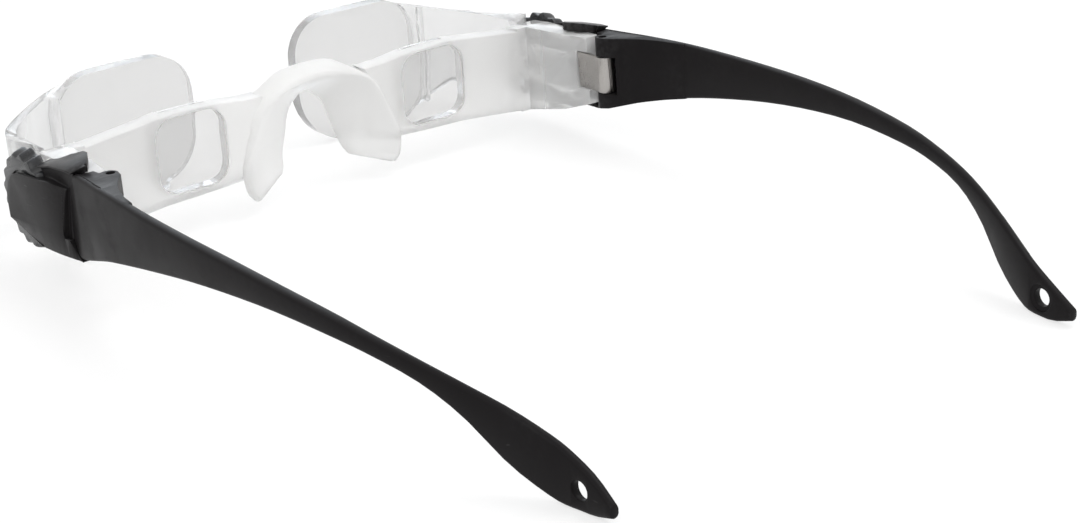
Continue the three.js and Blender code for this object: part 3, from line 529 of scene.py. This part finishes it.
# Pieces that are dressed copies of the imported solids

FRAME_EDGE = 0.2
PLAN = (
    # piece and node, body, slot, material, edge rounding in mm
    ("objective_carrier", "objective", "clear_plastic", CARRIER_CLEAR, 0.1),
    ("follower_pin", "objective", "steel", STEEL, 0.08),
    ("focus_wheel", "focus_wheel", "black_grip", GRIP_BLACK, 0.12),
    ("wheel_axle", "frame", "black_plastic", AXLE_BLACK, 0.12),
    ("wheel_washer", "frame", "steel", STEEL, 0.06),
    ("cover", "frame", "black_plastic", COVER_BLACK, 0.14),
    ("hinge_leaf", "frame", "steel", STEEL, 0.1),
    ("hinge_pin", "temple", "steel", STEEL, 0.1),
    ("temple", "temple", "black_plastic", TEMPLE_BLACK, 0.14),
)


def dressed(node, body, material, edge):
    piece = copy_of_node(node, node + "_finished")
    rounded(piece, edge)
    smooth(piece)
    finished(piece, node, body, material)


dressed("eyepiece_frame", "frame", FRAME_PLASTIC, FRAME_EDGE)
for stem, body, slot, material, edge in PLAN:
    for side in SIDES:
        dressed(f"{stem}_{side}", body_on(side, body), material, edge)


# Lenses, ground as true spheres

def sphere_radius(half_width, sag):
    return (half_width * half_width + sag * sag) / (2 * sag)


def box_of(node):
    """A node's box in mm, and the middle of it in x and z."""
    corners = [nodes[node].matrix_world @ Vector(corner) for corner in nodes[node].bound_box]
    low = [min(corner[i] for corner in corners) / MM for i in range(3)]
    high = [max(corner[i] for corner in corners) / MM for i in range(3)]
    return low, high, (low[0] + high[0]) / 2, (low[2] + high[2]) / 2


def objective_lens(name):
    """Bulging at the front and the rear: the slab keeps what lies in both balls."""
    low, high, x, z = box_of("objective_lens_left")
    half = (high[0] - low[0]) / 2
    piece = rounded_slab(name, low, high, OBJECTIVE_ROUND, OBJECTIVE_NOSE_ROUND)
    front, rear = sphere_radius(half, OBJECTIVE_FRONT_SAG), sphere_radius(half, OBJECTIVE_REAR_SAG)
    combine(piece, ball(front, (x, low[1] + front, z)), "INTERSECT")
    combine(piece, ball(rear, (x, high[1] - rear, z)), "INTERSECT")
    return piece


def eyepiece_lens(name):
    """A small slab with a flange round its front, hollowed from both sides."""
    low, high, x, z = box_of("eyepiece_lens_left")
    inset = EYEPIECE_FLANGE_WIDTH
    piece = rounded_slab(name, (low[0] + inset, low[1], low[2] + inset),
                         (high[0] - inset, high[1], high[2] - inset), EYEPIECE_ROUND)
    flange = rounded_slab("flange", low, (high[0], low[1] + EYEPIECE_FLANGE_DEPTH, high[2]),
                          EYEPIECE_ROUND + inset)
    combine(piece, flange, "UNION")
    half = (high[0] - low[0]) / 2 - inset
    rear, front = sphere_radius(half, EYEPIECE_REAR_SAG), sphere_radius(half, EYEPIECE_FRONT_SAG)
    combine(piece, ball(rear, (x, high[1] - EYEPIECE_REAR_SAG + rear, z)), "DIFFERENCE")
    combine(piece, ball(front, (x, low[1] + EYEPIECE_FRONT_SAG - front, z)), "DIFFERENCE")
    return piece


for make, stem, body, material in (
    (objective_lens, "objective_lens", "objective", LENS_CLEAR),
    (eyepiece_lens, "eyepiece_lens", "frame", EYEPIECE_CLEAR),
):
    left = make(stem + "_left_finished")
    right = mirror_copy(left, stem + "_right_finished")
    for piece, side in zip((left, right), SIDES):
        smooth(piece)
        finished(piece, f"{stem}_{side}", body_on(side, body), material)


# Floor, light and camera

def seen_directly(work):
    """1 where the camera, a mirror ray or a ray through glass sees the backdrop."""
    path = work.add("ShaderNodeLightPath").outputs
    seen = work.math("MAXIMUM", path["Is Camera Ray"], path["Is Transmission Ray"])
    return work.math("MAXIMUM", seen, path["Is Glossy Ray"])


def floor():
    bpy.ops.mesh.primitive_plane_add(size=FLOOR_SIZE, location=(0.0, 0.0, -FLOOR_DROP))
    plane = bpy.context.active_object
    plane.name = "floor"
    material, work, shader, _ = new_material("white_floor")
    shader["Base Color"].default_value = opaque(FLOOR_WHITE, FLOOR_WHITE, FLOOR_WHITE)
    shader["Roughness"].default_value = 1.0
    shader["Specular IOR Level"].default_value = 0.0
    shader["Emission Color"].default_value = WHITE
    extra = work.math("MULTIPLY", seen_directly(work), FLOOR_GLOW - FLOOR_BOUNCE)
    work.feed(work.math("ADD", extra, FLOOR_BOUNCE), shader["Emission Strength"])
    plane.data.materials.append(material)


def studio_world():
    """White where it is seen directly, and brighter from above for all other light."""
    world = bpy.data.worlds.new("studio")
    bpy.context.scene.world = world
    world.use_nodes = True
    work = Nodes(world.node_tree)
    background = world.node_tree.nodes["Background"].inputs
    up = work.axis(work.add("ShaderNodeTexCoord").outputs["Generated"], "Z")
    light = work.range(up, (0.0, WORLD_HIGH_FROM), (WORLD_LOW, WORLD_HIGH))
    work.feed(work.mix(seen_directly(work), light, 1.0, kind="FLOAT"), background["Strength"])
    background["Color"].default_value = WHITE


def area_light(name, place, size, watts, color):
    light = bpy.data.lights.new(name, "AREA")
    light.shape = "DISK"
    light.size = size
    light.energy = watts
    light.color = color
    lamp = bpy.data.objects.new(name, light)
    bpy.context.scene.collection.objects.link(lamp)
    lamp.location = place
    lamp.rotation_euler = (-Vector(place)).to_track_quat("-Z", "Y").to_euler()


floor()
studio_world()
for light in LIGHTS:
    area_light(*light)

camera_data = bpy.data.cameras.new("camera")
camera_data.sensor_width = CAMERA_SENSOR_MM
camera_data.lens = CAMERA_LENS_MM
camera_data.clip_start = CAMERA_CLIP_START
camera = bpy.data.objects.new("camera", camera_data)
bpy.context.scene.collection.objects.link(camera)
camera.location = CAMERA_PLACE
camera.rotation_euler = [math.radians(angle) for angle in CAMERA_TURN_DEG]
bpy.context.scene.camera = camera
bpy.context.scene.view_settings.view_transform = "Standard"
